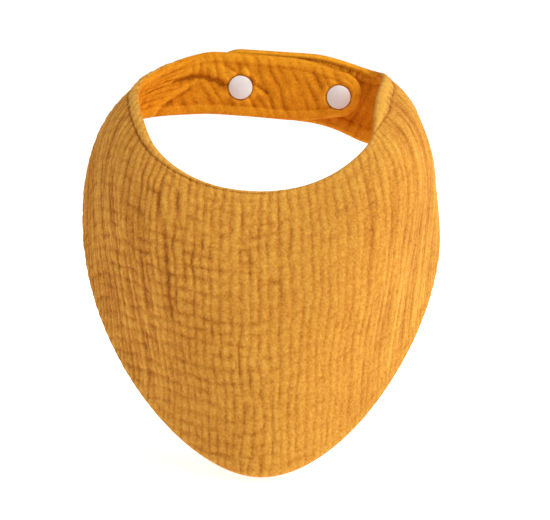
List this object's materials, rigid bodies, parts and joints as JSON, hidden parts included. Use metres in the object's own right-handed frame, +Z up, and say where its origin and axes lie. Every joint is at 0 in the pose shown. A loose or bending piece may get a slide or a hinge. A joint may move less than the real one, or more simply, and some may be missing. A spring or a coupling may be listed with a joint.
{
  "type": "bandana bib",
  "caption": "Baby's bandana bib in crinkled cotton double gauze, in its worn shape, with overlapping back straps closed by press snaps.",
  "frame": {"origin": "centre of the neck opening, at the height of the snaps", "axes": "+Z up along the neck, -Y towards the wearer's front, +X to the right seen from the front"},
  "size_m": [0.1835, 0.1413, 0.1953],
  "materials": {
    "outer_gauze": "crinkled",
    "lining_gauze": "crinkled",
    "padding": "soft",
    "thread": "matte",
    "snap_plastic": "satin"
  },
  "bodies": {
    "bib": {"outer_cloth": "outer_gauze", "lining": "lining_gauze", "middle_layer": "padding", "neck_seam": "thread", "hem_seam": "thread"},
    "inner_strap": {"inner_strap_cloth": "outer_gauze", "inner_strap_lining": "lining_gauze", "inner_strap_middle": "padding", "inner_strap_seam": "thread", "left_stud": "snap_plastic", "left_stud_cap": "snap_plastic"},
    "inner_end": {"inner_end_cloth": "outer_gauze", "inner_end_lining": "lining_gauze", "inner_end_middle": "padding", "inner_end_seam": "thread", "right_stud": "snap_plastic", "right_stud_cap": "snap_plastic"},
    "outer_strap": {"outer_strap_cloth": "outer_gauze", "outer_strap_lining": "lining_gauze", "outer_strap_middle": "padding", "outer_strap_seam": "thread", "right_socket": "snap_plastic", "right_socket_cap": "snap_plastic"},
    "outer_end": {"outer_end_cloth": "outer_gauze", "outer_end_lining": "lining_gauze", "outer_end_middle": "padding", "outer_end_seam": "thread", "left_socket": "snap_plastic", "left_socket_cap": "snap_plastic"}
  },
  "joints": [
    {"name": "inner_strap_peel", "type": "hinge", "parent": "bib", "child": "inner_strap", "pos_m": [-0.0263, 0.046, 0.00407], "axis": [-0.0993, 0, -0.9951], "range_deg": [0, 60]},
    {"name": "inner_end_peel", "type": "hinge", "parent": "inner_strap", "child": "inner_end", "pos_m": [0.0145, 0.046, 0], "axis": [-0.0993, 0, -0.9951], "range_deg": [0, 60]},
    {"name": "outer_strap_peel", "type": "hinge", "parent": "bib", "child": "outer_strap", "pos_m": [0.05351, 0.0526, -0.00389], "axis": [-0.0993, 0, -0.9951], "range_deg": [0, 90]},
    {"name": "outer_end_peel", "type": "hinge", "parent": "outer_strap", "child": "outer_end", "pos_m": [0.0145, 0.0526, 0], "axis": [-0.0993, 0, -0.9951], "range_deg": [0, 90]}
  ]
}
